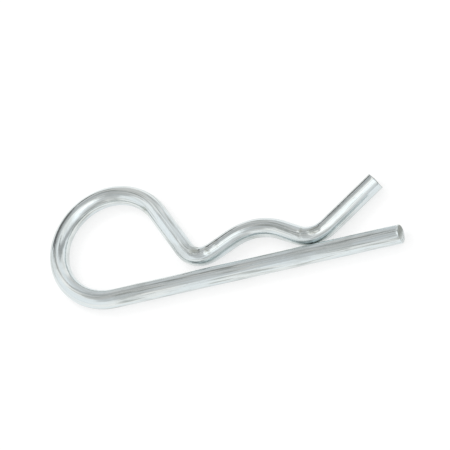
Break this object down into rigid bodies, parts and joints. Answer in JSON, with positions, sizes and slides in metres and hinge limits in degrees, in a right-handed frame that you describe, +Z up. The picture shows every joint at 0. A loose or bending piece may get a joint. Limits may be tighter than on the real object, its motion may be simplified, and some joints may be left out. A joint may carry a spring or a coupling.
{
  "type": "hitch r clip pin",
  "caption": "Spring wire R clip: a straight leg for a cross-drilled hole, a round finger loop and a wavy leg whose hump grips the outside of the shaft.",
  "frame": {"origin": "on the straight leg's axis, under the crest of the wavy leg's hump: the centre of the shaft that the clip pins, at the middle of the wire's thickness", "axes": "+X along the straight leg to its cut end, +Y from the straight leg towards the wavy leg, +Z up, square to the flat clip and along the pinned shaft"},
  "size_m": [0.0772, 0.0275, 0.004],
  "materials": {
    "zinc_plated_wire": "hard-drawn spring steel wire, bright zinc plated"
  },
  "bodies": {
    "root": {"r_clip": "zinc_plated_wire"}
  },
  "joints": []
}
